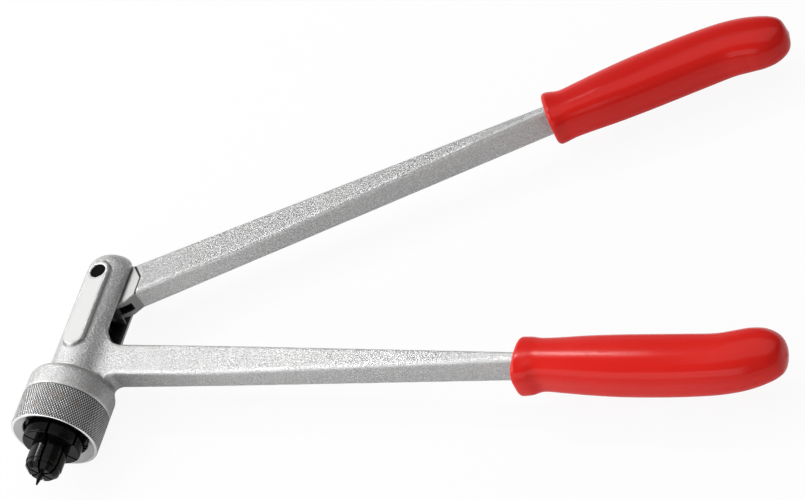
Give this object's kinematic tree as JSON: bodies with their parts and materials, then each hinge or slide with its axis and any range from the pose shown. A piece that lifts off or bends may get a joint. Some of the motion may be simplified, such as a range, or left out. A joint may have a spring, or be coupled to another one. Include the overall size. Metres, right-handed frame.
{
  "type": "manual tube expander",
  "caption": "Two-handled manual tube expander: a lever-worked cam drives a cone between segment jaws held by a knurled collar, with red dipped grips.",
  "frame": {"origin": "centre of the face on the jaws that stops the tube, on the head axis", "axes": "+Z along the pivot pin, so the tool lies flat; +X along the fixed arm towards its grip; -Y out of the jaws, the way the tube comes off"},
  "size_m": [0.4055, 0.288, 0.047],
  "materials": {
    "casting": "blasted casting, bright silver",
    "grip": "smooth red dipped vinyl, satin gloss",
    "black_steel": "black oxide, oiled",
    "bright_steel": "ground",
    "collar_steel": "knurled, plated",
    "bronze": "sintered bronze",
    "ring_rubber": "matt"
  },
  "bodies": {
    "head": {"head_casting": "casting", "lower_grip": "grip", "pivot_pin": "black_steel", "guide_bush": "bronze", "thrust_washer": "bright_steel", "return_spring": "bright_steel"},
    "lever": {"lever_arm": "casting", "upper_grip": "grip", "pivot_bush": "bronze", "cam_plate": "bright_steel", "cam_dowel": "bright_steel"},
    "mandrel": {"mandrel": "black_steel", "roller_pin": "bright_steel"},
    "roller": {"cam_roller": "bright_steel"},
    "head_set": {"jaw_ring": "ring_rubber"},
    "collar": {"collar": "collar_steel"},
    "jaw_1": {"jaw_1": "black_steel"},
    "jaw_2": {"jaw_2": "black_steel"},
    "jaw_3": {"jaw_3": "black_steel"},
    "jaw_4": {"jaw_4": "black_steel"},
    "jaw_5": {"jaw_5": "black_steel"},
    "jaw_6": {"jaw_6": "black_steel"}
  },
  "joints": [
    {"name": "lever_swing", "type": "hinge", "parent": "head", "child": "lever", "pos_m": [0, 0.1008, 0], "axis": [0, 0, 1], "range_deg": [-26, 19]},
    {"name": "mandrel_slide", "type": "slide", "parent": "head", "child": "mandrel", "axis": [0, -1, 0], "range_m": [-0.00545, 0.00745], "deforming": ["return_spring"]},
    {"name": "roller_spin", "type": "hinge", "parent": "mandrel", "child": "roller", "pos_m": [0, 0.0768, 0], "axis": [0, 0, 1], "range_deg": [-52, 71]},
    {"name": "head_set_slide", "type": "slide", "parent": "head", "child": "head_set", "axis": [0, -1, 0], "range_m": [0, 0.01]},
    {"name": "collar_turn", "type": "hinge", "parent": "head_set", "child": "collar", "pos_m": [0, 0.015, 0], "axis": [0, -1, 0], "range_deg": [0, 1800]},
    {"name": "jaw_1_slide", "type": "slide", "parent": "head_set", "child": "jaw_1", "axis": [0.7547, 0, 0.6561], "range_m": [-0.00116, 0.00158], "deforming": ["jaw_ring"]},
    {"name": "jaw_2_slide", "type": "slide", "parent": "head_set", "child": "jaw_2", "axis": [-0.1908, 0, 0.9816], "range_m": [-0.00116, 0.00158]},
    {"name": "jaw_3_slide", "type": "slide", "parent": "head_set", "child": "jaw_3", "axis": [-0.9455, 0, 0.3256], "range_m": [-0.00116, 0.00158]},
    {"name": "jaw_4_slide", "type": "slide", "parent": "head_set", "child": "jaw_4", "axis": [-0.7547, 0, -0.6561], "range_m": [-0.00116, 0.00158]},
    {"name": "jaw_5_slide", "type": "slide", "parent": "head_set", "child": "jaw_5", "axis": [0.1908, 0, -0.9816], "range_m": [-0.00116, 0.00158]},
    {"name": "jaw_6_slide", "type": "slide", "parent": "head_set", "child": "jaw_6", "axis": [0.9455, 0, -0.3256], "range_m": [-0.00116, 0.00158]}
  ],
  "couplings": [
    {"joint": "mandrel_slide", "follows": "lever_swing", "m_per_rad": -0.016315},
    {"joint": "roller_spin", "follows": "lever_swing", "ratio": -2.6923},
    {"joint": "head_set_slide", "follows": "collar_turn", "m_per_rad": 0.00031831},
    {"joint": "jaw_1_slide", "follows": "lever_swing", "m_per_rad": -0.0034679},
    {"joint": "jaw_2_slide", "follows": "lever_swing", "m_per_rad": -0.0034679},
    {"joint": "jaw_3_slide", "follows": "lever_swing", "m_per_rad": -0.0034679},
    {"joint": "jaw_4_slide", "follows": "lever_swing", "m_per_rad": -0.0034679},
    {"joint": "jaw_5_slide", "follows": "lever_swing", "m_per_rad": -0.0034679},
    {"joint": "jaw_6_slide", "follows": "lever_swing", "m_per_rad": -0.0034679}
  ]
}
